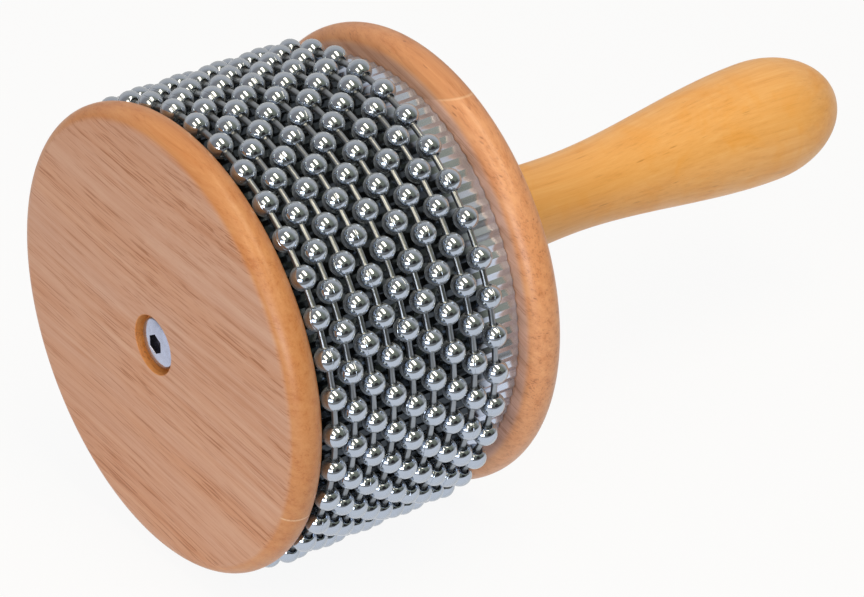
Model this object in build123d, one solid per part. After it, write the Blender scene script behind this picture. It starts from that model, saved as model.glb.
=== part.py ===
from build123d import *
import math
import os

# A cabasa lying on its side. All sizes are in millimetres. Each piece is drawn with the drum's axis on X,
# starting from the flat outer face of the front disc, and then set down on the table.

# Discs and core
disc_thickness = 8.6
disc_overhang = 5.8
rear_disc_thickness = 9.35
rear_disc_overhang = 6.2
rim_flat = 0.34
core_fit = 0.05

# Corrugated steel sleeve, a sheet wrapped once round the core with one ridge lapped over
crest_diameter = 102.4
ridge_count = 104
ridge_height = 0.5
sheet_thickness = 0.3
sheet_end_gap = 0.2
lap_gap = 0.05
seam_angle = 290.0

# Brads that hold the lap
brad_count = 3
brad_diameter = 1.0
brad_length = 9.0
brad_head_diameter = 1.8
brad_head_thickness = 0.4

# Bead chain. The loops nest, closest at the front, and leave a strip of bare sleeve at the rear.
loop_count = 9
beads_per_loop = 37
bead_diameter = 6.0
bead_wall = 0.4
bead_side_gap = 1.335
front_crowding = 0.052
loop_play = 0.3
loop_hang = 0.5
loop_end_gap = 0.15
bare_width = 7.07
first_bead_angle = 132.8

# Dumbbell pins between the beads
pin_diameter = 1.5
pin_head_diameter = 2.6
pin_hole_play = 0.1
pin_seat = 0.05

# Handle, a turned grip with a flared foot, a neck, a belly and a round end
handle_length = 134.6
foot_diameter = 24.2
neck_diameter = 20.5
neck_at = 44.5
belly_diameter = 31.7
end_round = 24.0

# Bolt through the drum into the handle
bolt_diameter = 6.0
bolt_play = 0.2
bolt_reach = 18.0
bolt_tip = 0.75
head_overhang = 3.3
head_edge = 1.6
head_dome = 1.0
head_recess = 0.45
head_play = 1.0
socket_flats = 4.4
socket_depth = 2.2

# Threaded insert in the neck
insert_wall = 1.5
insert_length = 15.0
insert_fit = 0.02
thread_play = 0.03
hole_run_out = 4.0

# Chain loops hang from the crests, so their centre lies a little under the drum's.
# Each loop's beads sit in the gaps of the loop beside it, which sets the pitch of the loops.
bead_radius = bead_diameter / 2
loop_radius = crest_diameter / 2 + loop_play + loop_hang + bead_radius
bead_step = 360 / beads_per_loop
bead_pitch = 2 * loop_radius * math.sin(math.radians(bead_step / 2))
pin_tilt = math.radians(bead_step / 2)
loop_pitch = math.sqrt((bead_diameter + bead_side_gap) ** 2 - (bead_pitch / 2) ** 2)

# Places along the axis
drum_length = loop_end_gap + bead_diameter + loop_pitch * (loop_count - 1) + bare_width
core_start = disc_thickness
rear_start = core_start + drum_length
handle_start = rear_start + rear_disc_thickness
handle_end = handle_start + handle_length

# Diameters that follow from the pieces inside
disc_diameter = crest_diameter + 2 * disc_overhang
rear_disc_diameter = crest_diameter + 2 * rear_disc_overhang
head_diameter = bolt_diameter + 2 * head_overhang
insert_diameter = bolt_diameter + 2 * insert_wall


def bead_angles(loop):
    start = first_bead_angle + (loop % 2) * bead_step / 2
    return [start + i * bead_step for i in range(beads_per_loop)]


deepest = max(-math.sin(math.radians(a)) for loop in range(loop_count) for a in bead_angles(loop))
axis_height = loop_hang + loop_radius * deepest + bead_radius
on_table = Pos(-handle_end / 2, 0, axis_height)


def along(start, length, diameter):
    rod = Cylinder(diameter / 2, length, align=(Align.CENTER, Align.CENTER, Align.MIN))
    return Pos(start, 0, 0) * Rot(Y=90) * rod


def turned_disc(start, thickness, diameter):
    disc = along(start, thickness, diameter)
    rims = disc.edges().filter_by(GeomType.CIRCLE)
    disc = fillet(rims, (thickness - rim_flat) / 2)
    return disc - along(start, thickness, bolt_diameter + 2 * bolt_play)


def front_disc():
    head_seat = head_recess + head_dome + head_edge
    disc = turned_disc(0, disc_thickness, disc_diameter)
    return disc - along(0, head_seat, head_diameter + 2 * head_play)


def rear_disc():
    return turned_disc(rear_start, rear_disc_thickness, rear_disc_diameter)


valley_diameter = crest_diameter - 2 * ridge_height
core_diameter = valley_diameter - 2 * sheet_thickness - 2 * core_fit


def core():
    drum = along(core_start, drum_length, core_diameter)
    drum = drum - along(core_start, drum_length, bolt_diameter + 2 * bolt_play)
    for hole in brad_places():
        drum = drum - hole * brad_shank(brad_diameter)
    return drum


# The seam's under end starts on a crest. The over end reaches one ridge past it and lies on top.
def sheet_point(step, inward):
    angle = math.radians(seam_angle + step * 180 / ridge_count)
    radius = (valley_diameter if step % 2 else crest_diameter) / 2 - inward
    if step >= 2 * ridge_count:
        radius += sheet_thickness + lap_gap
    return radius * math.cos(angle), radius * math.sin(angle)


def corrugated_sleeve():
    steps = range(2 * ridge_count + 3)
    outside = [sheet_point(s, 0) for s in steps]
    inside = [sheet_point(s, sheet_thickness) for s in reversed(steps)]
    section = make_face(Polyline(*outside, *inside, close=True))
    sheet = extrude(section, amount=drum_length - 2 * sheet_end_gap)
    sheet = Pos(core_start + sheet_end_gap, 0, 0) * Rot(Y=90) * Rot(Z=90) * sheet
    for hole in brad_places():
        sheet = sheet - hole * brad_shank(brad_diameter)
    return sheet


# Brads go in along the valley of the lap, evenly spaced, with the head on the slopes beside it.
lap_valley = valley_diameter / 2 + sheet_thickness + lap_gap
slope = ridge_height / (math.pi * crest_diameter / ridge_count / 2)
brad_seat = lap_valley + slope * brad_head_diameter / 2


def brad_places():
    turn = seam_angle + 180 / ridge_count
    gap = drum_length / brad_count
    starts = [core_start + gap * (i + 0.5) for i in range(brad_count)]
    return [Pos(x, 0, 0) * Rot(X=turn) * Pos(0, brad_seat, 0) * Rot(X=-90) for x in starts]


def brad_shank(diameter):
    return Cylinder(diameter / 2, brad_length, align=(Align.CENTER, Align.CENTER, Align.MAX))


def brad():
    head = Cylinder(brad_head_diameter / 2, brad_head_thickness, align=(Align.CENTER, Align.CENTER, Align.MIN))
    return head + brad_shank(brad_diameter)


# Each bead is a hollow ball with a hole at both poles, and each pin a straight wire with a ball at both ends.
# The pins lean in the holes by half a bead step, so the holes leave room for that.
pin_hole = pin_diameter / 2 + bead_radius * math.tan(pin_tilt) + pin_hole_play
hollow = bead_radius - bead_wall


def bead():
    ball = Sphere(bead_radius) - Sphere(hollow)
    return ball - Cylinder(pin_hole, bead_diameter)


def pin():
    head = pin_head_diameter / 2
    lip = math.sqrt(hollow**2 - pin_hole**2)
    side = pin_hole - lip * math.tan(pin_tilt) / 2
    head_at = lip - math.sqrt((head + pin_seat) ** 2 - side**2)
    half = bead_pitch / 2 - head_at
    wire = Cylinder(pin_diameter / 2, 2 * half)
    return wire + Pos(0, 0, half) * Sphere(head) + Pos(0, 0, -half) * Sphere(head)


def loop_place(loop):
    shift = front_crowding * loop * (loop_count - 1 - loop)
    x = core_start + loop_end_gap + bead_radius + loop_pitch * loop - shift
    return Pos(x, 0, -loop_hang)


def loop_beads(loop, ball):
    at = loop_place(loop)
    return Compound([at * Rot(X=a) * Pos(0, loop_radius, 0) * ball for a in bead_angles(loop)])


def loop_pins(loop, link):
    at = loop_place(loop)
    chord = loop_radius * math.cos(pin_tilt)
    turns = [a + bead_step / 2 for a in bead_angles(loop)]
    return Compound([at * Rot(X=a) * Pos(0, chord, 0) * link for a in turns])


def ease(start, end):
    third = (end[0] - start[0]) / 3
    return Bezier(start, (start[0] + third, start[1]), (end[0] - third, end[1]), end)


def handle():
    foot = (handle_start, foot_diameter / 2)
    neck = (handle_start + neck_at, neck_diameter / 2)
    belly = (handle_end - end_round, belly_diameter / 2)
    cap = EllipticalCenterArc((belly[0], 0), end_round, belly[1], start_angle=0, arc_size=90)
    outline = [Line((handle_start, 0), foot), ease(foot, neck), ease(neck, belly), cap]
    outline.append(Line((handle_end, 0), (handle_start, 0)))
    grip = revolve(make_face(outline), Axis.X)
    grip = grip - along(handle_start, insert_length, insert_diameter + 2 * insert_fit)
    return grip - along(handle_start, bolt_reach + hole_run_out, bolt_diameter + 2 * bolt_play)


def through_bolt():
    seat = head_recess + head_dome + head_edge
    rim = head_diameter / 2
    bow = (rim**2 + head_dome**2) / (2 * head_dome)
    ball = Pos(head_recess + bow, 0, 0) * Sphere(bow)
    head = ball & along(head_recess, head_dome + head_edge, head_diameter)
    socket = extrude(RegularPolygon(socket_flats / 2, 6, major_radius=False), amount=socket_depth)
    head = head - Pos(head_recess, 0, 0) * Rot(Y=90) * socket
    shank = along(seat, handle_start + bolt_reach - seat, bolt_diameter)
    tip = shank.edges().filter_by(GeomType.CIRCLE).sort_by(Axis.X)[-1]
    return head + chamfer(tip, bolt_tip)


def handle_insert():
    nut = along(handle_start, insert_length, insert_diameter)
    return nut - along(handle_start, insert_length, bolt_diameter + 2 * thread_play)


nodes = {
    "front_disc": front_disc(),
    "rear_disc": rear_disc(),
    "core": core(),
    "corrugated_sleeve": corrugated_sleeve(),
    "sleeve_brads": Compound([place * brad() for place in brad_places()]),
    "handle": handle(),
    "through_bolt": through_bolt(),
    "handle_insert": handle_insert(),
}
ball = bead()
link = pin()
for loop in range(loop_count):
    nodes[f"loop_{loop + 1}_beads"] = loop_beads(loop, ball)
    nodes[f"loop_{loop + 1}_pins"] = loop_pins(loop, link)

os.makedirs("parts", exist_ok=True)
for name, shape in nodes.items():
    export_step(on_table * shape, f"parts/{name}.step")
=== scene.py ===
import bpy
import bmesh
import math
import random
from mathutils import Matrix, Vector


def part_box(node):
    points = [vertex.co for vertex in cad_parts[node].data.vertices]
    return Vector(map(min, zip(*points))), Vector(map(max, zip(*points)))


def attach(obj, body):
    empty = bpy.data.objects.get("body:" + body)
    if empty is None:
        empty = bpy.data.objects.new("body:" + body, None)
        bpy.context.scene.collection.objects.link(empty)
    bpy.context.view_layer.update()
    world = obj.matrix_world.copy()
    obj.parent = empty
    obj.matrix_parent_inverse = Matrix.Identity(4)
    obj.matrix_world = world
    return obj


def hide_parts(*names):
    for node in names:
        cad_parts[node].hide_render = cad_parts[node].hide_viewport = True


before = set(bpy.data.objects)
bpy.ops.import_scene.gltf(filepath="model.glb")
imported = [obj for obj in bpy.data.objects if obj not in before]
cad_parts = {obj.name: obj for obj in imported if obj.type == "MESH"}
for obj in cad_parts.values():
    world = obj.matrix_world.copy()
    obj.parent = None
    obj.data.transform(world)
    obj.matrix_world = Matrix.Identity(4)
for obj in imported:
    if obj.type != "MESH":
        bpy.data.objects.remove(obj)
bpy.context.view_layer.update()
print("frame loaded:", len(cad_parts), "nodes")

mm = 0.001
frontLow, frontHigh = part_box("front_disc")
rearLow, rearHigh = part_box("rear_disc")
handleLow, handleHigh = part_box("handle")
axisZ = (frontLow[2] + frontHigh[2]) / 2 / mm  # drum axis above the table, mm
frontX = frontLow[0] / mm
rearX = rearLow[0] / mm
handleX = handleLow[0] / mm
tailX = handleHigh[0] / mm


# mesh helpers, all in millimetres until the mesh is written

def finishMesh(name, bm, body, nodes):
    bmesh.ops.recalc_face_normals(bm, faces=bm.faces)
    bmesh.ops.scale(bm, vec=(mm, mm, mm), verts=bm.verts)
    mesh = bpy.data.meshes.new(name)
    bm.to_mesh(mesh)
    bm.free()
    piece = bpy.data.objects.new(name, mesh)
    bpy.context.scene.collection.objects.link(piece)
    mesh.shade_smooth()
    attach(piece, body)
    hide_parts(*nodes)
    return piece


def sharpenAbove(piece, degrees):
    piece.data.set_sharp_from_angle(angle=math.radians(degrees))


# turns a profile of (along, radius) points about the local X axis; a closed profile joins end to start
def turnProfile(bm, profile, segments, place, closed=True, dent=None):
    rings = []
    for along, radius in profile:
        if radius < 1e-6:
            rings.append([bm.verts.new(place @ Vector((along, 0, 0)))])
            continue
        ring = []
        for s in range(segments):
            angle = 2 * math.pi * s / segments if dent is None else dent[s][0]
            r = radius if dent is None else radius - dent[s][1]
            ring.append(bm.verts.new(place @ Vector((along, r * math.cos(angle), r * math.sin(angle)))))
        rings.append(ring)
    pairs = list(zip(rings, rings[1:]))
    if closed:
        pairs.append((rings[-1], rings[0]))
    for a, b in pairs:
        for s in range(segments):
            t = (s + 1) % segments
            if len(a) == 1 and len(b) == 1:
                break
            if len(a) == 1:
                bm.faces.new((a[0], b[t], b[s]))
            elif len(b) == 1:
                bm.faces.new((a[s], a[t], b[0]))
            else:
                bm.faces.new((a[s], a[t], b[t], b[s]))


def arcPoints(centre, radius, startDeg, endDeg, steps):
    points = []
    for i in range(steps + 1):
        a = math.radians(startDeg + (endDeg - startDeg) * i / steps)
        points.append((centre[0] + radius * math.cos(a), centre[1] + radius * math.sin(a)))
    return points


def easeCurve(start, end, steps):
    points = []
    for i in range(steps + 1):
        t = i / steps
        x = start[0] + (end[0] - start[0]) * t
        w = 3 * t * t - 2 * t * t * t
        points.append((x, start[1] + (end[1] - start[1]) * w))
    return points


# shader helpers

def newMaterial(name):
    mat = bpy.data.materials.new(name)
    mat.use_nodes = True
    tree = mat.node_tree
    tree.nodes.clear()
    out = tree.nodes.new("ShaderNodeOutputMaterial")
    skin = tree.nodes.new("ShaderNodeBsdfPrincipled")
    tree.links.new(skin.outputs["BSDF"], out.inputs["Surface"])
    return mat, tree, skin


def addNode(tree, kind, values=None, **props):
    node = tree.nodes.new(kind)
    for key, value in props.items():
        setattr(node, key, value)
    for key, value in (values or {}).items():
        node.inputs[key].default_value = value
    return node


def mathNode(tree, operation, a, b=None, clamp=False):
    node = addNode(tree, "ShaderNodeMath", operation=operation, use_clamp=clamp)
    for i, value in enumerate((a, b)):
        if value is None:
            continue
        if isinstance(value, (int, float)):
            node.inputs[i].default_value = value
        else:
            tree.links.new(value, node.inputs[i])
    return node.outputs[0]


def mixColour(tree, factor, a, b, blend="MIX"):
    node = addNode(tree, "ShaderNodeMix", data_type="RGBA", blend_type=blend)
    for socket, value in ((node.inputs[0], factor), (node.inputs[6], a), (node.inputs[7], b)):
        if isinstance(value, bpy.types.NodeSocket):
            tree.links.new(value, socket)
        elif isinstance(value, (int, float)):
            socket.default_value = value
        else:
            socket.default_value = (*value, 1)
    return node.outputs[2]


def rampNode(tree, value, stops):
    node = addNode(tree, "ShaderNodeValToRGB")
    ramp = node.color_ramp
    while len(ramp.elements) < len(stops):
        ramp.elements.new(0.5)
    for element, (position, colour) in zip(ramp.elements, stops):
        element.position = position
        element.color = (*colour, 1)
    tree.links.new(value, node.inputs[0])
    return node.outputs[0]


def groupShell(name, inputs, outputs):
    tree = bpy.data.node_groups.new(name, "ShaderNodeTree")
    for label, kind, value in inputs:
        socket = tree.interface.new_socket(name=label, in_out="INPUT", socket_type=kind)
        if value is not None:
            socket.default_value = value
    for label, kind in outputs:
        tree.interface.new_socket(name=label, in_out="OUTPUT", socket_type=kind)
    return tree, tree.nodes.new("NodeGroupInput"), tree.nodes.new("NodeGroupOutput")


# grain of a plain hardwood: fibres run along X of the incoming coordinate, which is in millimetres
def buildWoodGrain():
    tree, gin, gout = groupShell(
        "woodGrain",
        [("Place", "NodeSocketVector", None), ("Streak Size", "NodeSocketFloat", 1.0),
         ("Pore Size", "NodeSocketFloat", 1.0), ("Pore Amount", "NodeSocketFloat", 0.5),
         ("Pore Stretch", "NodeSocketVector", (0.08, 1, 1))],
        [("Tone", "NodeSocketFloat"), ("Streak", "NodeSocketFloat"), ("Pores", "NodeSocketFloat"),
         ("Height", "NodeSocketFloat")])
    link = tree.links.new
    wander = addNode(tree, "ShaderNodeTexNoise", {"Scale": 0.012, "Detail": 1.0})
    link(gin.outputs["Place"], wander.inputs["Vector"])
    drift = addNode(tree, "ShaderNodeVectorMath", operation="SCALE")
    link(wander.outputs["Color"], drift.inputs[0])
    drift.inputs["Scale"].default_value = 5.0
    bent = addNode(tree, "ShaderNodeVectorMath", operation="ADD")
    link(gin.outputs["Place"], bent.inputs[0])
    link(drift.outputs[0], bent.inputs[1])

    def stretched(amount, scaleSocket=None):
        node = addNode(tree, "ShaderNodeVectorMath", operation="MULTIPLY")
        link(bent.outputs[0], node.inputs[0])
        node.inputs[1].default_value = (amount, 1, 1)
        if scaleSocket is None:
            return node.outputs[0]
        sized = addNode(tree, "ShaderNodeVectorMath", operation="SCALE")
        link(node.outputs[0], sized.inputs[0])
        link(scaleSocket, sized.inputs["Scale"])
        return sized.outputs[0]

    def spread(value, low, high):
        node = addNode(tree, "ShaderNodeMapRange", {"From Min": low, "From Max": high})
        link(value, node.inputs["Value"])
        return node.outputs[0]

    broad = addNode(tree, "ShaderNodeTexNoise", {"Scale": 0.1, "Detail": 2.0, "Roughness": 0.5})
    link(stretched(0.05), broad.inputs["Vector"])
    streak = addNode(tree, "ShaderNodeTexNoise", {"Scale": 0.5, "Detail": 5.0, "Roughness": 0.78})
    link(stretched(0.026, gin.outputs["Streak Size"]), streak.inputs["Vector"])
    fibre = addNode(tree, "ShaderNodeTexNoise", {"Scale": 2.4, "Detail": 1.0, "Roughness": 0.5})
    link(stretched(0.03, gin.outputs["Streak Size"]), fibre.inputs["Vector"])
    pores = addNode(tree, "ShaderNodeTexVoronoi", {"Scale": 1.05, "Randomness": 1.0})
    drawn = addNode(tree, "ShaderNodeVectorMath", operation="MULTIPLY")
    link(bent.outputs[0], drawn.inputs[0])
    link(gin.outputs["Pore Stretch"], drawn.inputs[1])
    poreGrid = addNode(tree, "ShaderNodeVectorMath", operation="SCALE")
    link(drawn.outputs[0], poreGrid.inputs[0])
    link(gin.outputs["Pore Size"], poreGrid.inputs["Scale"])
    link(poreGrid.outputs[0], pores.inputs["Vector"])
    near = addNode(tree, "ShaderNodeMapRange", {"From Min": 0.12, "From Max": 0.26, "To Min": 1.0, "To Max": 0.0})
    link(pores.outputs["Distance"], near.inputs["Value"])
    cell = addNode(tree, "ShaderNodeSeparateColor")
    link(pores.outputs["Color"], cell.inputs[0])
    clumps = addNode(tree, "ShaderNodeMapRange", {"From Min": 0.42, "From Max": 0.6, "To Min": 1.7, "To Max": 0.15})
    link(streak.outputs["Fac"], clumps.inputs["Value"])
    wanted = mathNode(tree, "MULTIPLY", gin.outputs["Pore Amount"], clumps.outputs[0])
    chosen = mathNode(tree, "LESS_THAN", cell.outputs[0], wanted)
    poreMask = mathNode(tree, "MULTIPLY", near.outputs[0], chosen)
    poreMask = mathNode(tree, "MULTIPLY", poreMask, mathNode(tree, "ADD", cell.outputs[1], 0.25), clamp=True)
    toneOut = spread(broad.outputs["Fac"], 0.32, 0.68)
    lines = mathNode(tree, "MULTIPLY", spread(fibre.outputs["Fac"], 0.57, 0.64), clumps.outputs[0])
    lines = mathNode(tree, "MULTIPLY", lines, mathNode(tree, "ADD", toneOut, 0.15))
    lines = mathNode(tree, "MULTIPLY", lines, mathNode(tree, "MULTIPLY", gin.outputs["Pore Amount"], 1.6))
    poreMask = mathNode(tree, "MAXIMUM", poreMask, lines, clamp=True)
    streakOut = spread(streak.outputs["Fac"], 0.34, 0.66)
    bump = mathNode(tree, "SUBTRACT", mathNode(tree, "MULTIPLY", streakOut, 0.15), poreMask)
    link(toneOut, gout.inputs["Tone"])
    link(streakOut, gout.inputs["Streak"])
    link(poreMask, gout.inputs["Pores"])
    link(bump, gout.inputs["Height"])
    return tree


# smears, hairline marks and dulled patches for metal and lacquer, coordinate in millimetres
def buildHandling():
    tree, gin, gout = groupShell(
        "handling",
        [("Place", "NodeSocketVector", None), ("Size", "NodeSocketFloat", 1.0)],
        [("Smear", "NodeSocketFloat"), ("Hairline", "NodeSocketFloat"), ("Speck", "NodeSocketFloat")])
    link = tree.links.new
    sized = addNode(tree, "ShaderNodeVectorMath", operation="SCALE")
    link(gin.outputs["Place"], sized.inputs[0])
    link(gin.outputs["Size"], sized.inputs["Scale"])
    smear = addNode(tree, "ShaderNodeTexNoise", {"Scale": 0.11, "Detail": 4.0, "Roughness": 0.6, "Distortion": 0.6})
    link(sized.outputs[0], smear.inputs["Vector"])
    hair = addNode(tree, "ShaderNodeTexNoise", {"Scale": 1.1, "Detail": 2.0, "Distortion": 1.4})
    pull = addNode(tree, "ShaderNodeVectorMath", operation="MULTIPLY")
    link(sized.outputs[0], pull.inputs[0])
    pull.inputs[1].default_value = (0.12, 1, 1)
    link(pull.outputs[0], hair.inputs["Vector"])
    thin = addNode(tree, "ShaderNodeMapRange", {"From Min": 0.66, "From Max": 0.74})
    link(hair.outputs["Fac"], thin.inputs["Value"])
    speck = addNode(tree, "ShaderNodeTexVoronoi", {"Scale": 0.55})
    link(sized.outputs[0], speck.inputs["Vector"])
    dots = addNode(tree, "ShaderNodeMapRange", {"From Min": 0.05, "From Max": 0.12, "To Min": 1.0, "To Max": 0.0})
    link(speck.outputs["Distance"], dots.inputs["Value"])
    link(smear.outputs["Fac"], gout.inputs["Smear"])
    link(thin.outputs[0], gout.inputs["Hairline"])
    link(dots.outputs[0], gout.inputs["Speck"])
    return tree


woodGrain = buildWoodGrain()
handling = buildHandling()


def placeGroup(tree, group, place, values=None):
    node = addNode(tree, "ShaderNodeGroup")
    node.node_tree = group
    tree.links.new(place, node.inputs["Place"])
    for key, value in (values or {}).items():
        node.inputs[key].default_value = value
    return node


# object coordinate in millimetres, turned so that the fibres lie along X
def pieceCoordinate(tree, turn=(0, 0, 0), shift=(0, 0, 0)):
    coordinate = addNode(tree, "ShaderNodeTexCoord")
    mapping = addNode(tree, "ShaderNodeMapping")
    mapping.inputs["Scale"].default_value = (1 / mm, 1 / mm, 1 / mm)
    mapping.inputs["Rotation"].default_value = [math.radians(a) for a in turn]
    mapping.inputs["Location"].default_value = shift
    tree.links.new(coordinate.outputs["Object"], mapping.inputs["Vector"])
    return mapping.outputs[0]


def addBump(tree, skin, height, strength, distance):
    bump = addNode(tree, "ShaderNodeBump", {"Strength": strength, "Distance": distance})
    tree.links.new(height, bump.inputs["Height"])
    tree.links.new(bump.outputs[0], skin.inputs["Normal"])


# lacquered disc: fibres lie across the face, amber rim, a glued board joint with a change of tone
def discWood(name, look):
    mat, tree, skin = newMaterial(name)
    link = tree.links.new
    place = pieceCoordinate(tree, look["turn"], look["shift"])
    grain = placeGroup(tree, woodGrain, place, {
        "Streak Size": look["streakSize"], "Pore Size": look["poreSize"], "Pore Amount": look["poreAmount"],
        "Pore Stretch": look["poreStretch"]})
    tones = rampNode(tree, grain.outputs["Streak"], look["tones"])
    colour = mixColour(tree, grain.outputs["Tone"], tones, look["drift"], "MULTIPLY")
    bare = addNode(tree, "ShaderNodeTexCoord")
    split = addNode(tree, "ShaderNodeSeparateXYZ")
    link(bare.outputs["Object"], split.inputs[0])
    acrossY = mathNode(tree, "MULTIPLY", split.outputs[1], 1 / mm)
    upZ = mathNode(tree, "SUBTRACT", mathNode(tree, "MULTIPLY", split.outputs[2], 1 / mm), axisZ)
    radius = mathNode(tree, "SQRT", mathNode(tree, "ADD", mathNode(tree, "MULTIPLY", acrossY, acrossY),
                                             mathNode(tree, "MULTIPLY", upZ, upZ)))
    rim = addNode(tree, "ShaderNodeMapRange", {"From Min": look["rimFrom"], "From Max": look["rimTo"]})
    link(radius, rim.inputs["Value"])
    colour = mixColour(tree, rim.outputs[0], colour, mixColour(tree, 1.0, colour, look["rimTint"], "MULTIPLY"))
    bore = addNode(tree, "ShaderNodeMapRange", {"From Min": discShared["boreFrom"], "From Max": discShared["boreTo"],
                                                "To Min": 1.0, "To Max": 0.0})
    link(radius, bore.inputs["Value"])
    colour = mixColour(tree, bore.outputs[0], colour, mixColour(tree, 1.0, colour, look["boreTint"], "MULTIPLY"))
    joint = mathNode(tree, "SUBTRACT", upZ, look["jointZ"])
    joint = mathNode(tree, "SUBTRACT", joint, mathNode(tree, "MULTIPLY", acrossY, look["jointTilt"]))
    under = mathNode(tree, "LESS_THAN", joint, 0.0)
    colour = mixColour(tree, under, colour, mixColour(tree, 1.0, colour, look["boardTint"], "MULTIPLY"))
    glue = addNode(tree, "ShaderNodeMapRange", {"From Min": discShared["glueFrom"], "From Max": discShared["glueTo"],
                                                "To Min": 1.0, "To Max": 0.0})
    link(mathNode(tree, "ABSOLUTE", joint), glue.inputs["Value"])
    glueOnRim = mathNode(tree, "MULTIPLY", glue.outputs[0], rim.outputs[0])
    glueShown = mathNode(tree, "MULTIPLY", glueOnRim, look["glueShow"])
    colour = mixColour(tree, glueShown, colour, look["glue"])
    poreFade = addNode(tree, "ShaderNodeMapRange", {"To Min": look["poreDepth"],
                                                    "To Max": look["poreDepth"] * look["rimPores"]})
    link(rim.outputs[0], poreFade.inputs["Value"])
    poreShade = mathNode(tree, "MULTIPLY", grain.outputs["Pores"], poreFade.outputs[0])
    colour = mixColour(tree, poreShade, colour, look["pore"])
    touched = placeGroup(tree, handling, place, {"Size": discShared["smearSize"]})
    rough = addNode(tree, "ShaderNodeMapRange", {"From Min": 0.3, "From Max": 0.7,
                                                 "To Min": look["gloss"][0], "To Max": look["gloss"][1]})
    link(touched.outputs["Smear"], rough.inputs["Value"])
    rimShine = mathNode(tree, "MULTIPLY", rim.outputs[0], look["rimPolish"])
    link(colour, skin.inputs["Base Color"])
    link(mathNode(tree, "SUBTRACT", rough.outputs[0], rimShine), skin.inputs["Roughness"])
    skin.inputs["Specular IOR Level"].default_value = discShared["specular"]
    skin.inputs["Coat Weight"].default_value = look["coat"]
    skin.inputs["Coat Roughness"].default_value = look["coatRoughness"]
    addBump(tree, skin, grain.outputs["Height"], *discShared["grainBump"])
    return mat


# discs: solids turned from glued boards, both rims fully rounded
discShared = dict(
    boreFrom=7.35, boreTo=7.6, glueFrom=0.1, glueTo=0.34, smearSize=0.6, specular=0.45, grainBump=(0.25, 0.00006),
    faceRings=(18, 30, 42, 49), noseSteps=18, easeSteps=4, sharpDegrees=50)
frontDisc = dict(
    counterboreRadius=7.3, counterboreDepth=3.05, holeRadius=3.2, noseRadius=4.13, edgeEase=0.25, segments=256,
    turn=(-6.5, 0, 90), shift=(0, 0, 0), streakSize=1.0, poreSize=1.45, poreAmount=0.55, poreDepth=0.9, rimPores=0.35,
    poreStretch=(0.022, 0.2, 1),
    tones=[(0.0, (0.475, 0.222, 0.122)), (0.35, (0.535, 0.285, 0.186)), (0.65, (0.558, 0.312, 0.214)),
           (1.0, (0.59, 0.352, 0.252))],
    drift=(1.0, 0.915, 0.79), pore=(0.335, 0.118, 0.036), rimFrom=53.8, rimTo=54.7, rimTint=(0.97, 0.805, 0.49),
    boreTint=(1.1, 0.84, 0.36),
    jointZ=-16.4, jointTilt=0.113, boardTint=(1.0, 0.97, 0.93), glue=(0.80, 0.60, 0.42), glueShow=0.6,
    gloss=(0.44, 0.54), rimPolish=0.08, coat=0.14, coatRoughness=0.28)
rearDisc = dict(
    holeRadius=3.2, noseRadius=4.505, segments=256,
    turn=(-17, 0, 90), shift=(31, 17, 5), streakSize=0.9, poreSize=1.2, poreAmount=0.3, poreDepth=0.75, rimPores=0.9,
    poreStretch=(0.16, 0.5, 1),
    tones=[(0.0, (0.475, 0.245, 0.158)), (0.35, (0.55, 0.312, 0.226)), (0.65, (0.585, 0.345, 0.256)),
           (1.0, (0.625, 0.390, 0.298))],
    drift=(0.99, 0.94, 0.87), pore=(0.30, 0.11, 0.05), rimFrom=53.6, rimTo=54.8, rimTint=(1.03, 0.83, 0.535),
    boreTint=(1.0, 0.72, 0.36),
    jointZ=44.3, jointTilt=-0.3, boardTint=(1.13, 1.18, 1.28), glue=(0.86, 0.62, 0.42), glueShow=0.36,
    gloss=(0.42, 0.52), rimPolish=0.08, coat=0.16, coatRoughness=0.28)


def makeDisc(name, look, x0, x1, outer):
    nose = look["noseRadius"]
    hole = look["holeRadius"]
    profile = []
    if "counterboreRadius" in look:
        bore = look["counterboreRadius"]
        ease = look["edgeEase"]
        seat = x0 + look["counterboreDepth"]
        profile += [(seat, hole), (seat, bore)]
        profile += arcPoints((x0 + ease, bore + ease), ease, -90, -180, discShared["easeSteps"])
    else:
        profile += [(x0, hole)]
    profile += [(x0, r) for r in discShared["faceRings"]]
    profile += arcPoints((x0 + nose, outer - nose), nose, 180, 90, discShared["noseSteps"])
    profile += arcPoints((x1 - nose, outer - nose), nose, 90, 0, discShared["noseSteps"])
    profile += [(x1, r) for r in reversed(discShared["faceRings"])]
    profile += [(x1, hole)]
    bm = bmesh.new()
    turnProfile(bm, profile, look["segments"], Matrix.Translation((0, 0, axisZ)))
    piece = finishMesh(name, bm, "drum", [name])
    piece.data.materials.append(discWood(name + "_lacquer", look))
    sharpenAbove(piece, discShared["sharpDegrees"])


makeDisc("front_disc", frontDisc, frontX, frontHigh[0] / mm, (frontHigh[1] - frontLow[1]) / 2 / mm)
makeDisc("rear_disc", rearDisc, rearX, rearHigh[0] / mm, (rearHigh[1] - rearLow[1]) / 2 / mm)
print("discs turned")

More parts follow.
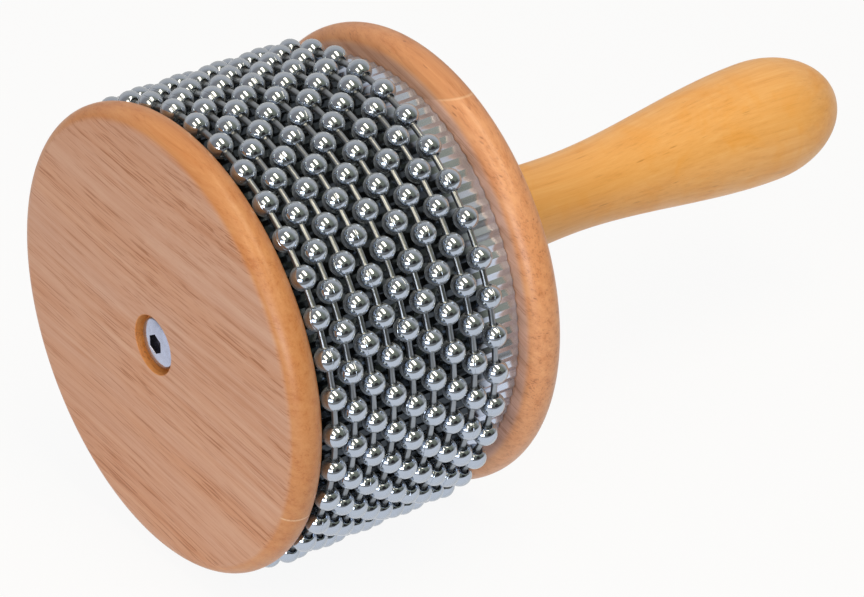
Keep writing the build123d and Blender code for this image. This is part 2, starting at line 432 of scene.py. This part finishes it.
# handle: foot, neck, belly and round end, clear satin finish over a paler wood
handle = dict(
    footRadius=12.1, footEase=0.35, neckRadius=10.25, neckAt=44.5, bellyRadius=15.85, endRound=24, segments=128,
    insertRadius=4.52, insertDepth=15, boreRadius=3.2, boreDepth=22,
    easeSteps=4, footSteps=40, bellySteps=48, endSteps=32, sharpDegrees=50,
    turn=(0, 0, 0), shift=(0, 40, 12), smearSize=0.62, amberFrom=0.48, amberTo=0.68, grainBump=(0.2, 0.00005),
    streakSize=1.3, poreSize=1.05, poreAmount=0.13, poreDepth=0.55,
    tones=[(0.0, (0.78, 0.390, 0.108)), (0.35, (0.83, 0.436, 0.132)), (0.65, (0.85, 0.460, 0.150)),
           (1.0, (0.87, 0.500, 0.185))],
    drift=(0.99, 0.96, 0.88), amber=(0.99, 0.87, 0.52), pore=(0.50, 0.20, 0.03),
    coat=0.28, coatRoughness=0.34, gloss=(0.40, 0.52))


def handleWood():
    mat, tree, skin = newMaterial("handle_lacquer")
    link = tree.links.new
    place = pieceCoordinate(tree, handle["turn"], handle["shift"])
    grain = placeGroup(tree, woodGrain, place, {
        "Streak Size": handle["streakSize"], "Pore Size": handle["poreSize"], "Pore Amount": handle["poreAmount"]})
    tones = rampNode(tree, grain.outputs["Streak"], handle["tones"])
    colour = mixColour(tree, grain.outputs["Tone"], tones, handle["drift"], "MULTIPLY")
    touched = placeGroup(tree, handling, place, {"Size": handle["smearSize"]})
    figure = addNode(tree, "ShaderNodeMapRange", {"From Min": handle["amberFrom"], "From Max": handle["amberTo"]})
    link(touched.outputs["Smear"], figure.inputs["Value"])
    colour = mixColour(tree, figure.outputs[0], colour, mixColour(tree, 1.0, colour, handle["amber"], "MULTIPLY"))
    poreShade = mathNode(tree, "MULTIPLY", grain.outputs["Pores"], handle["poreDepth"])
    colour = mixColour(tree, poreShade, colour, handle["pore"])
    rough = addNode(tree, "ShaderNodeMapRange", {"From Min": 0.3, "From Max": 0.7,
                                                 "To Min": handle["gloss"][0], "To Max": handle["gloss"][1]})
    link(touched.outputs["Smear"], rough.inputs["Value"])
    link(colour, skin.inputs["Base Color"])
    link(rough.outputs[0], skin.inputs["Roughness"])
    skin.inputs["Coat Weight"].default_value = handle["coat"]
    skin.inputs["Coat Roughness"].default_value = handle["coatRoughness"]
    addBump(tree, skin, grain.outputs["Height"], *handle["grainBump"])
    return mat


def makeHandle():
    foot = (handleX, handle["footRadius"])
    neck = (handleX + handle["neckAt"], handle["neckRadius"])
    belly = (tailX - handle["endRound"], handle["bellyRadius"])
    ease = handle["footEase"]
    profile = [(handleX + handle["boreDepth"], 0), (handleX + handle["boreDepth"], handle["boreRadius"]),
               (handleX + handle["insertDepth"], handle["boreRadius"]),
               (handleX + handle["insertDepth"], handle["insertRadius"]), (handleX, handle["insertRadius"])]
    profile += arcPoints((handleX + ease, foot[1] - ease), ease, 180, 95, handle["easeSteps"])
    profile += easeCurve(foot, neck, handle["footSteps"])[2:]
    profile += easeCurve(neck, belly, handle["bellySteps"])[1:]
    for i in range(1, handle["endSteps"] + 1):
        a = math.pi / 2 * i / handle["endSteps"]
        profile.append((belly[0] + handle["endRound"] * math.sin(a), belly[1] * math.cos(a)))
    profile[-1] = (tailX, 0)
    bm = bmesh.new()
    turnProfile(bm, profile, handle["segments"], Matrix.Translation((0, 0, axisZ)), closed=False)
    piece = finishMesh("handle", bm, "drum", ["handle"])
    piece.data.materials.append(handleWood())
    sharpenAbove(piece, handle["sharpDegrees"])


makeHandle()
print("handle turned")

# corrugated sheet: rounded ridges, one ridge lapped over at the seam
sleeve = dict(
    crestRadius=51.2, valleyRadius=50.7, thickness=0.3, ridges=104, perRidge=8, seamDegrees=290, lapLift=0.35,
    roundness=0.99, endGap=0.2, lengthSteps=8, sharpDegrees=9, chainEnd=57.6, chainFade=1.6,
    steel=(0.64, 0.72, 0.89), dull=(0.52, 0.59, 0.73), underChainShade=(0.045, 0.055, 0.068), roughness=(0.11, 0.19),
    metal=0.8, drawnBump=(0.15, 0.00003))


def sleeveSteel():
    mat, tree, skin = newMaterial("sleeve_steel")
    link = tree.links.new
    place = pieceCoordinate(tree)
    touched = placeGroup(tree, handling, place, {"Size": 1.0})
    smear = addNode(tree, "ShaderNodeMapRange", {"From Min": 0.35, "From Max": 0.7})
    link(touched.outputs["Smear"], smear.inputs["Value"])
    drawn = addNode(tree, "ShaderNodeTexNoise", {"Scale": 2.2, "Detail": 3.0})
    pull = addNode(tree, "ShaderNodeVectorMath", operation="MULTIPLY")
    link(place, pull.inputs[0])
    pull.inputs[1].default_value = (0.03, 1, 1)
    link(pull.outputs[0], drawn.inputs["Vector"])
    factor = mathNode(tree, "MULTIPLY", mathNode(tree, "ADD", smear.outputs[0], drawn.outputs["Fac"]), 0.5)
    colour = mixColour(tree, factor, sleeve["steel"], sleeve["dull"])
    along = addNode(tree, "ShaderNodeSeparateXYZ")
    link(place, along.inputs[0])
    chainEdge = frontX + sleeve["chainEnd"]  # painted shade: the plate is darkened up to the chain's last loop, where the beads shade it
    # painted shade: under the chain the plate colour is mixed to near black to stand in for the shade cast by the
    # beads
    chainShadeMask = addNode(tree, "ShaderNodeMapRange", {"From Min": chainEdge - sleeve["chainFade"],
                                                   "From Max": chainEdge + sleeve["chainFade"],
                                                   "To Min": 1.0, "To Max": 0.0})
    link(along.outputs[0], chainShadeMask.inputs["Value"])
    link(mixColour(tree, chainShadeMask.outputs[0], colour, sleeve["underChainShade"]), skin.inputs["Base Color"])
    rough = addNode(tree, "ShaderNodeMapRange", {"To Min": sleeve["roughness"][0], "To Max": sleeve["roughness"][1]})
    link(factor, rough.inputs["Value"])
    link(rough.outputs[0], skin.inputs["Roughness"])
    skin.inputs["Metallic"].default_value = sleeve["metal"]
    addBump(tree, skin, drawn.outputs["Fac"], *sleeve["drawnBump"])
    return mat


def sleeveSection(step, inward):
    angle = math.radians(sleeve["seamDegrees"] + step * 180 / sleeve["ridges"])
    k = sleeve["roundness"]
    wave = math.asin(k * math.cos(math.pi * step)) / math.asin(k)
    mid = (sleeve["crestRadius"] + sleeve["valleyRadius"]) / 2
    radius = mid + (sleeve["crestRadius"] - sleeve["valleyRadius"]) / 2 * wave - inward
    over = step - 2 * sleeve["ridges"]
    if over > -0.5:
        radius += sleeve["lapLift"] * min(1.0, (over + 0.5) / 0.5)
    return radius * math.cos(angle), radius * math.sin(angle)


def makeSleeve():
    count = (2 * sleeve["ridges"] + 2) * sleeve["perRidge"] // 2
    steps = [2.0 * i / sleeve["perRidge"] for i in range(count + 1)]
    outline = [sleeveSection(s, 0) for s in steps]
    outline += [sleeveSection(s, sleeve["thickness"]) for s in reversed(steps)]
    x0 = frontHigh[0] / mm + sleeve["endGap"]
    x1 = rearX - sleeve["endGap"]
    bm = bmesh.new()
    rows = []
    for j in range(sleeve["lengthSteps"] + 1):
        x = x0 + (x1 - x0) * j / sleeve["lengthSteps"]
        rows.append([bm.verts.new((x, y, z + axisZ)) for y, z in outline])
    size = len(outline)
    for a, b in zip(rows, rows[1:]):
        for i in range(size):
            k = (i + 1) % size
            bm.faces.new((a[i], a[k], b[k], b[i]))
    half = size // 2
    for row in (rows[0], rows[-1]):
        for i in range(half - 1):
            bm.faces.new((row[i], row[i + 1], row[size - 2 - i], row[size - 1 - i]))
    piece = finishMesh("corrugated_sleeve", bm, "drum", ["corrugated_sleeve"])
    piece.data.materials.append(sleeveSteel())
    sharpenAbove(piece, sleeve["sharpDegrees"])


makeSleeve()
print("sleeve rolled")

# bead chain: hollow balls rolled from strip, so each has a fine seam, on dumbbell pins
chain = dict(
    loops=9, beads=37, beadRadius=3.0, hollowRadius=2.6, holeRadius=1.105, lip=0.16, loopRadius=55.0, hang=0.5,
    firstDegrees=132.8, columns=30, seamWidth=2.2, seamDepth=0.07, wobbleDegrees=3.0, wobbleShift=0.05,
    pinRadius=0.75, pinHead=1.3, pinSeat=0.05, pinSegments=16, beadSharp=55, pinSharp=60, seed=7)
beadChrome = dict(plate=(0.46, 0.52, 0.62), worn=(0.40, 0.45, 0.53), roughness=(0.02, 0.06), metal=(0.97, 0.9),
                  edgeHaze=0.46)
pinSteel = dict(plate=(0.31, 0.34, 0.38), worn=(0.18, 0.19, 0.21), roughness=(0.30, 0.42), metal=(1.0, 0.92),
                edgeHaze=0.3)


def platedMetal(name, look, size):
    mat, tree, skin = newMaterial(name)
    link = tree.links.new
    place = pieceCoordinate(tree)
    touched = placeGroup(tree, handling, place, {"Size": size})
    smear = addNode(tree, "ShaderNodeMapRange", {"From Min": 0.42, "From Max": 0.75})
    link(touched.outputs["Smear"], smear.inputs["Value"])
    marks = mathNode(tree, "MULTIPLY", touched.outputs["Hairline"], 0.35)
    dull = mathNode(tree, "ADD", mathNode(tree, "MULTIPLY", smear.outputs[0], 0.5), marks, clamp=True)
    link(mixColour(tree, dull, look["plate"], look["worn"]), skin.inputs["Base Color"])
    rough = addNode(tree, "ShaderNodeMapRange", {"To Min": look["roughness"][0], "To Max": look["roughness"][1]})
    link(dull, rough.inputs["Value"])
    link(rough.outputs[0], skin.inputs["Roughness"])
    bright = addNode(tree, "ShaderNodeMapRange", {"To Min": look["metal"][0], "To Max": look["metal"][1]})
    link(dull, bright.inputs["Value"])
    facing = addNode(tree, "ShaderNodeLayerWeight", {"Blend": 0.5})
    haze = addNode(tree, "ShaderNodeMapRange", {"From Min": 0.25, "From Max": 0.7, "To Max": look["edgeHaze"]})
    link(facing.outputs["Facing"], haze.inputs["Value"])
    link(mathNode(tree, "SUBTRACT", bright.outputs[0], haze.outputs[0]), skin.inputs["Metallic"])
    addBump(tree, skin, touched.outputs["Hairline"], 0.05, 0.00002)
    return mat


def beadProfile():
    r, hollow, hole, lip = chain["beadRadius"], chain["hollowRadius"], chain["holeRadius"], chain["lip"]
    start = math.degrees(math.asin((hole + lip) / r))
    outer = arcPoints((0, 0), r, 180 - start, start, 22)
    edge = math.sqrt(r * r - (hole + lip) ** 2)
    inner = math.sqrt(hollow * hollow - hole * hole)
    back = arcPoints((0, 0), hollow, math.degrees(math.asin(hole / hollow)),
                     180 - math.degrees(math.asin(hole / hollow)), 8)
    rollRight = [(edge - 0.03, hole + 0.07), (edge - 0.1, hole + 0.015)]
    rollLeft = [(-x, y) for x, y in reversed(rollRight)]
    return outer + rollRight + [(max(x, -inner), y) for x, y in back] + rollLeft


def beadColumns(turn):
    width = math.radians(chain["seamWidth"])
    seam = [(-2 * width, 0), (-0.6 * width, 0.015), (0, chain["seamDepth"]), (0.6 * width, 0.015), (2 * width, 0)]
    rest = chain["columns"] - len(seam)
    span = 2 * math.pi - 4 * width
    seam += [(2 * width + span * (i + 1) / (rest + 1), 0) for i in range(rest)]
    return [(turn + a, d) for a, d in seam]


def pinProfile(length):
    r, head = chain["pinRadius"], chain["pinHead"]
    neck = math.sqrt(head * head - r * r)
    left = [(-length - head, 0)] + arcPoints((-length, 0), head, 165, math.degrees(math.atan2(r, neck)), 7)
    flare = [(-length + neck + 0.35, r * 1.02), (-length * 0.3, r * 0.985), (length * 0.3, r * 0.985)]
    right = [(-x, y) for x, y in reversed(left)]
    return left + flare + [(length - neck - 0.35, r * 1.02)] + right


def makeLoop(index, chrome, steel):
    rng = random.Random(chain["seed"] + index)
    name = f"loop_{index + 1}"
    low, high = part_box(name + "_beads")
    centre = Matrix.Translation(((low[0] + high[0]) / 2 / mm, 0, axisZ - chain["hang"]))
    step = 360 / chain["beads"]
    start = chain["firstDegrees"] + (index % 2) * step / 2
    chord = chain["loopRadius"] * math.cos(math.radians(step / 2))
    hollow, hole, head, seat = chain["hollowRadius"], chain["holeRadius"], chain["pinHead"], chain["pinSeat"]
    lipAt = math.sqrt(hollow * hollow - hole * hole)
    side = hole - lipAt * math.tan(math.radians(step / 2)) / 2
    reach = chain["loopRadius"] * math.sin(math.radians(step / 2)) - (lipAt - math.sqrt((head + seat) ** 2 - side**2))
    alongChain = Matrix.Rotation(math.radians(90), 4, "Z") @ Matrix.Rotation(math.radians(90), 4, "Y")

    def onLoop(degrees, radius):
        return centre @ Matrix.Rotation(math.radians(degrees), 4, "X") @ Matrix.Translation((0, radius, 0))

    balls = beadProfile()
    wires = pinProfile(reach)
    slack = chain["wobbleShift"]
    beadMesh = bmesh.new()
    pinMesh = bmesh.new()
    for i in range(chain["beads"]):
        at = onLoop(start + i * step, chain["loopRadius"])
        nudge = Matrix.Translation((rng.uniform(-1, 1) * slack, 0, rng.uniform(-1, 1) * slack))
        lean = Matrix.Rotation(math.radians(rng.uniform(-1, 1) * chain["wobbleDegrees"]), 4, "Y")
        columns = beadColumns(rng.uniform(0, 2 * math.pi))
        turnProfile(beadMesh, balls, chain["columns"], at @ nudge @ lean @ alongChain, dent=columns)
        link = onLoop(start + (i + 0.5) * step, chord)
        turnProfile(pinMesh, wires, chain["pinSegments"], link @ alongChain, closed=False)
    beads = finishMesh(name + "_beads", beadMesh, name, [name + "_beads"])
    beads.data.materials.append(chrome)
    sharpenAbove(beads, chain["beadSharp"])
    pins = finishMesh(name + "_pins", pinMesh, name, [name + "_pins"])
    pins.data.materials.append(steel)
    sharpenAbove(pins, chain["pinSharp"])


chromePlate = platedMetal("bead_chrome_plate", beadChrome, 1.6)
pinPlate = platedMetal("pin_bright_steel", pinSteel, 2.0)
for loopIndex in range(chain["loops"]):
    makeLoop(loopIndex, chromePlate, pinPlate)
print("chain threaded:", chain["loops"] * chain["beads"], "beads")

# bolt: low domed head with a hexagon socket, plain shank into the handle
bolt = dict(
    headRadius=6.3, headEdge=1.6, headDome=1.0, recess=0.45, socketFlats=4.4, socketDepth=2.2, socketEase=0.18,
    shankRadius=3.0, shankEnd=18.0, tip=0.75, segments=96, socketRings=3, domeRings=12, drillPoint=0.7,
    sharpDegrees=35,
    plate=(0.46, 0.50, 0.65), worn=(0.34, 0.36, 0.44), roughness=(0.16, 0.30), metal=(1.0, 0.9), edgeHaze=0.1)
# painted shade: a near-black steel finish inside the hex socket stands in for the shade in the recess
socketShadeLook = dict(plate=(0.20, 0.20, 0.25), worn=(0.07, 0.07, 0.08), roughness=(0.15, 0.35), metal=(1.0, 0.8),
                  edgeHaze=0.1)


def makeBolt():
    top = frontX + bolt["recess"]
    rim = bolt["headRadius"]
    bow = (rim**2 + bolt["headDome"] ** 2) / (2 * bolt["headDome"])
    shoulder = top + bolt["headDome"]
    seat = shoulder + bolt["headEdge"]
    end = handleX + bolt["shankEnd"]
    count = bolt["segments"]
    flat = bolt["socketFlats"] / 2
    bm = bmesh.new()
    rings = []

    def ring(xOf, radiusOf):
        made = []
        for s in range(count):
            a = 2 * math.pi * s / count
            r = radiusOf(a)
            made.append(bm.verts.new((xOf(r), r * math.cos(a), axisZ + r * math.sin(a))))
        rings.append(made)

    def hexRadius(a):
        wedge = math.pi / 3
        return flat / math.cos(((a + wedge / 2) % wedge) - wedge / 2)

    def domeX(r):
        return top + bow - math.sqrt(bow * bow - r * r)

    floorX = top + bolt["socketDepth"]
    ease = bolt["socketEase"]
    centreVert = bm.verts.new((floorX + bolt["drillPoint"], 0, axisZ))
    ring(lambda r: floorX, lambda a: flat * 0.82)
    ring(lambda r: floorX, hexRadius)
    ring(lambda r: domeX(flat) + ease * 1.2, hexRadius)
    ring(lambda r: domeX(flat) + ease * 0.3, lambda a: hexRadius(a) + ease * 0.35)
    ring(domeX, lambda a: hexRadius(a) + ease)
    for i in range(1, bolt["domeRings"] + 1):
        blend = i / bolt["domeRings"]
        ring(domeX, lambda a, b=blend: (hexRadius(a) + ease) * (1 - b) + (rim - 0.25) * b)
    ring(lambda r: domeX(rim - 0.25) + 0.14, lambda a: rim - 0.07)
    ring(lambda r: shoulder + 0.22, lambda a: rim)
    ring(lambda r: seat - 0.2, lambda a: rim)
    ring(lambda r: seat, lambda a: rim - 0.2)
    ring(lambda r: seat, lambda a: bolt["shankRadius"])
    ring(lambda r: end - bolt["tip"], lambda a: bolt["shankRadius"])
    ring(lambda r: end, lambda a: bolt["shankRadius"] - bolt["tip"])
    # material slot 1 on the socket floor and walls carries the painted shade of the recess
    for s in range(count):
        bm.faces.new((centreVert, rings[0][s], rings[0][(s + 1) % count])).material_index = 1
    for depth, (a, b) in enumerate(zip(rings, rings[1:])):
        for s in range(count):
            t = (s + 1) % count
            bm.faces.new((a[s], a[t], b[t], b[s])).material_index = int(depth < bolt["socketRings"] - 1)
    bm.faces.new(rings[-1])
    piece = finishMesh("through_bolt", bm, "drum", ["through_bolt"])
    piece.data.materials.append(platedMetal("bolt_zinc_plate", bolt, 3.0))
    piece.data.materials.append(platedMetal("bolt_socket_painted_shade", socketShadeLook, 3.0))
    sharpenAbove(piece, bolt["sharpDegrees"])


makeBolt()
print("bolt cut")

# pieces inside the drum keep their solids and get their own finishes
coreLook = dict(
    turn=(0, 90, 20), shift=(11, 3, 8), streakSize=0.8, poreSize=0.7, poreAmount=0.3,
    tones=[(0.1, (0.46, 0.27, 0.12)), (0.5, (0.60, 0.40, 0.21)), (0.9, (0.68, 0.47, 0.27))], pore=(0.28, 0.14, 0.06))


def coreWood():
    mat, tree, skin = newMaterial("core_raw_wood")
    place = pieceCoordinate(tree, coreLook["turn"], coreLook["shift"])
    grain = placeGroup(tree, woodGrain, place, {
        "Streak Size": coreLook["streakSize"], "Pore Size": coreLook["poreSize"],
        "Pore Amount": coreLook["poreAmount"]})
    tones = rampNode(tree, grain.outputs["Streak"], coreLook["tones"])
    colour = mixColour(tree, grain.outputs["Pores"], tones, coreLook["pore"])
    rough = addNode(tree, "ShaderNodeMapRange", {"To Min": 0.6, "To Max": 0.8})
    tree.links.new(grain.outputs["Tone"], rough.inputs["Value"])
    tree.links.new(colour, skin.inputs["Base Color"])
    tree.links.new(rough.outputs[0], skin.inputs["Roughness"])
    addBump(tree, skin, grain.outputs["Height"], 0.4, 0.0001)
    return mat


insertLook = dict(plate=(0.55, 0.50, 0.40), worn=(0.38, 0.34, 0.27), roughness=(0.25, 0.4), metal=(1.0, 0.9),
                  edgeHaze=0.1)
bradLook = dict(plate=(0.55, 0.55, 0.54), worn=(0.36, 0.35, 0.33), roughness=(0.22, 0.4), metal=(1.0, 0.9),
                edgeHaze=0.1)
for nodeName, finish in (("core", coreWood()), ("handle_insert", platedMetal("insert_steel", insertLook, 3.0)),
                         ("sleeve_brads", platedMetal("brad_steel", bradLook, 4.0))):
    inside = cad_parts[nodeName]
    inside.data.materials.clear()
    inside.data.materials.append(finish)
print("inner pieces finished")

# camera at the photograph's viewpoint
camera = dict(
    location=(-0.48955, -0.60295, 0.4743), right=(0.7917, -0.6108, 0.0), up=(0.3012, 0.3903, 0.8700),
    forward=(0.5314, 0.6888, -0.4931), lens=149.24)
lensData = bpy.data.cameras.new("photo_camera")
lensData.sensor_fit = "HORIZONTAL"
lensData.sensor_width = 36
lensData.lens = camera["lens"]
lensData.clip_start = 0.01
viewer = bpy.data.objects.new("photo_camera", lensData)
right, up, ahead = Vector(camera["right"]), Vector(camera["up"]), Vector(camera["forward"])
turned = Matrix((right, up, -ahead)).transposed().to_4x4()
viewer.matrix_world = Matrix.Translation(camera["location"]) @ turned
bpy.context.scene.collection.objects.link(viewer)
bpy.context.scene.camera = viewer

# studio: a white board under the object, two warm windows, a cool softbox at the front left, a pale grey room
studio = dict(
    boardFront=0.24, boardBack=0.75, boardSide=0.45, boardColour=(0.66, 0.66, 0.66), boardGlow=0.92,
    floorColour=(0.22, 0.235, 0.27), floorReach=4.0, aim=(-0.06, 0.0, 0.06),
    roomLow=(0.08, 0.077, 0.072), roomMid=(0.275, 0.265, 0.215), roomHigh=(0.36, 0.335, 0.27),
    doorway=(0.02, -0.985, 0.17), doorwayDark=(0.016, 0.012, 0.012),
    roomLeft=(1.06, 1.04, 1.24), roomRight=(0.88, 0.95, 0.85), roomBehind=(0.62, 0.61, 0.60),
    windowColour=(1.0, 0.84, 0.60), windowWidth=0.36, windowFar=1.2,
    windows=[((-0.01, 0.48), (0.25, 0.18), 6.6), ((-0.21, 0.21), (-0.01, -0.03), 3.8)],
    softboxColour=(0.93, 0.96, 1.0), softboxWatts=5.6, softboxWide=0.72, softboxHigh=0.36, softboxFar=1.2,
    softboxGlint=(-0.19, -0.19))


# direction in which a small mirror ball shows a glint at (across, upward), as shares of its radius
def glintDirection(across, upward):
    deep = math.sqrt(1 - across**2 - upward**2)
    return (right * (2 * deep * across) + up * (2 * deep * upward) - ahead * (2 * deep * deep - 1)).normalized()


def addLamp(name, place, aim, longAxis, width, length, watts, colour):
    data = bpy.data.lights.new(name, "AREA")
    data.shape = "RECTANGLE"
    data.size = length
    data.size_y = width
    data.energy = watts
    data.color = colour
    lamp = bpy.data.objects.new(name, data)
    zAxis = (place - aim).normalized()
    xAxis = (longAxis - zAxis * longAxis.dot(zAxis)).normalized()
    yAxis = zAxis.cross(xAxis)
    lamp.matrix_world = Matrix.Translation(place) @ Matrix((xAxis, yAxis, zAxis)).transposed().to_4x4()
    bpy.context.scene.collection.objects.link(lamp)


aimPoint = Vector(studio["aim"])
for index, (startGlint, endGlint, watts) in enumerate(studio["windows"]):
    a = aimPoint + glintDirection(*startGlint) * studio["windowFar"]
    b = aimPoint + glintDirection(*endGlint) * studio["windowFar"]
    addLamp(f"window_{index + 1}", (a + b) / 2, aimPoint, b - a, studio["windowWidth"], (b - a).length,
            watts, studio["windowColour"])
softPlace = aimPoint + glintDirection(*studio["softboxGlint"]) * studio["softboxFar"]
addLamp("softbox", softPlace, aimPoint, right, studio["softboxHigh"], studio["softboxWide"],
        studio["softboxWatts"], studio["softboxColour"])


def boardMaterial():
    mat = bpy.data.materials.new("white_board")
    mat.use_nodes = True
    tree = mat.node_tree
    tree.nodes.clear()
    link = tree.links.new
    out = tree.nodes.new("ShaderNodeOutputMaterial")
    paper = addNode(tree, "ShaderNodeBsdfDiffuse")
    place = addNode(tree, "ShaderNodeTexCoord")
    tooth = addNode(tree, "ShaderNodeTexNoise", {"Scale": 900.0, "Detail": 2.0})
    link(place.outputs["Object"], tooth.inputs["Vector"])
    bump = addNode(tree, "ShaderNodeBump", {"Strength": 0.1, "Distance": 0.0001})
    link(tooth.outputs["Fac"], bump.inputs["Height"])
    link(bump.outputs[0], paper.inputs["Normal"])
    paper.inputs["Color"].default_value = (*studio["boardColour"], 1)
    glow = addNode(tree, "ShaderNodeEmission", {"Strength": 1.0})
    rays = addNode(tree, "ShaderNodeLightPath")
    seen = mathNode(tree, "MAXIMUM", rays.outputs["Is Camera Ray"], rays.outputs["Is Glossy Ray"])
    seen = mathNode(tree, "MAXIMUM", seen, rays.outputs["Is Transmission Ray"])
    mix = addNode(tree, "ShaderNodeMixShader")
    link(mathNode(tree, "MULTIPLY", seen, studio["boardGlow"]), mix.inputs[0])
    link(paper.outputs[0], mix.inputs[1])
    link(glow.outputs[0], mix.inputs[2])
    link(mix.outputs[0], out.inputs["Surface"])
    return mat


def floorMaterial():
    mat, tree, skin = newMaterial("grey_floor")
    place = addNode(tree, "ShaderNodeTexCoord")
    mottle = addNode(tree, "ShaderNodeTexNoise", {"Scale": 3.0, "Detail": 4.0})
    tree.links.new(place.outputs["Object"], mottle.inputs["Vector"])
    darker = tuple(c * 0.92 for c in studio["floorColour"])
    tree.links.new(mixColour(tree, mottle.outputs["Fac"], studio["floorColour"], darker), skin.inputs["Base Color"])
    skin.inputs["Roughness"].default_value = 0.8
    return mat


def makeSheet(name, front, back, side, z, material):
    out = Vector((-ahead[0], -ahead[1], 0)).normalized()
    across = Vector((right[0], right[1], 0)).normalized()
    corners = [out * front - across * side, out * front + across * side,
               -out * back + across * side, -out * back - across * side]
    mesh = bpy.data.meshes.new(name)
    mesh.from_pydata([tuple(c + Vector((0, 0, z))) for c in corners], [], [(0, 1, 2, 3)])
    sheet = bpy.data.objects.new(name, mesh)
    mesh.materials.append(material)
    bpy.context.scene.collection.objects.link(sheet)


def makeRoom():
    world = bpy.data.worlds.new("grey_room")
    bpy.context.scene.world = world
    world.use_nodes = True
    tree = world.node_tree
    tree.nodes.clear()
    out = tree.nodes.new("ShaderNodeOutputWorld")
    back = tree.nodes.new("ShaderNodeBackground")
    direction = addNode(tree, "ShaderNodeTexCoord")
    split = addNode(tree, "ShaderNodeSeparateXYZ")
    tree.links.new(direction.outputs["Generated"], split.inputs[0])
    colour = rampNode(tree, split.outputs[2], [(0.05, studio["roomLow"]), (0.3, studio["roomMid"]),
                                               (1.0, studio["roomHigh"])])
    aside = addNode(tree, "ShaderNodeVectorMath", operation="DOT_PRODUCT")
    tree.links.new(direction.outputs["Generated"], aside.inputs[0])
    aside.inputs[1].default_value = tuple(right)
    turnTint = rampNode(tree, mathNode(tree, "ADD", mathNode(tree, "MULTIPLY", aside.outputs["Value"], 0.5), 0.5),
                        [(0.1, studio["roomLeft"]), (0.75, studio["roomRight"])])
    colour = mixColour(tree, 1.0, colour, turnTint, "MULTIPLY")
    toDoor = addNode(tree, "ShaderNodeVectorMath", operation="DOT_PRODUCT")
    tree.links.new(direction.outputs["Generated"], toDoor.inputs[0])
    toDoor.inputs[1].default_value = studio["doorway"]
    inDoor = addNode(tree, "ShaderNodeMapRange", {"From Min": 0.945, "From Max": 0.965})
    tree.links.new(toDoor.outputs["Value"], inDoor.inputs["Value"])
    colour = mixColour(tree, inDoor.outputs[0], colour, studio["doorwayDark"])
    far = addNode(tree, "ShaderNodeVectorMath", operation="DOT_PRODUCT")
    tree.links.new(direction.outputs["Generated"], far.inputs[0])
    far.inputs[1].default_value = tuple(Vector((ahead[0], ahead[1], 0)).normalized())
    beyond = addNode(tree, "ShaderNodeMapRange", {"From Min": -0.05, "From Max": 0.45})
    tree.links.new(far.outputs["Value"], beyond.inputs["Value"])
    tree.links.new(mixColour(tree, beyond.outputs[0], colour, studio["roomBehind"]), back.inputs["Color"])
    tree.links.new(back.outputs[0], out.inputs["Surface"])


makeSheet("white_board", studio["boardFront"], studio["boardBack"], studio["boardSide"], -0.0002, boardMaterial())
makeSheet("studio_floor", studio["floorReach"], studio["floorReach"], studio["floorReach"], -0.002, floorMaterial())
makeRoom()
bpy.context.scene.view_settings.view_transform = "Standard"
print("studio set")
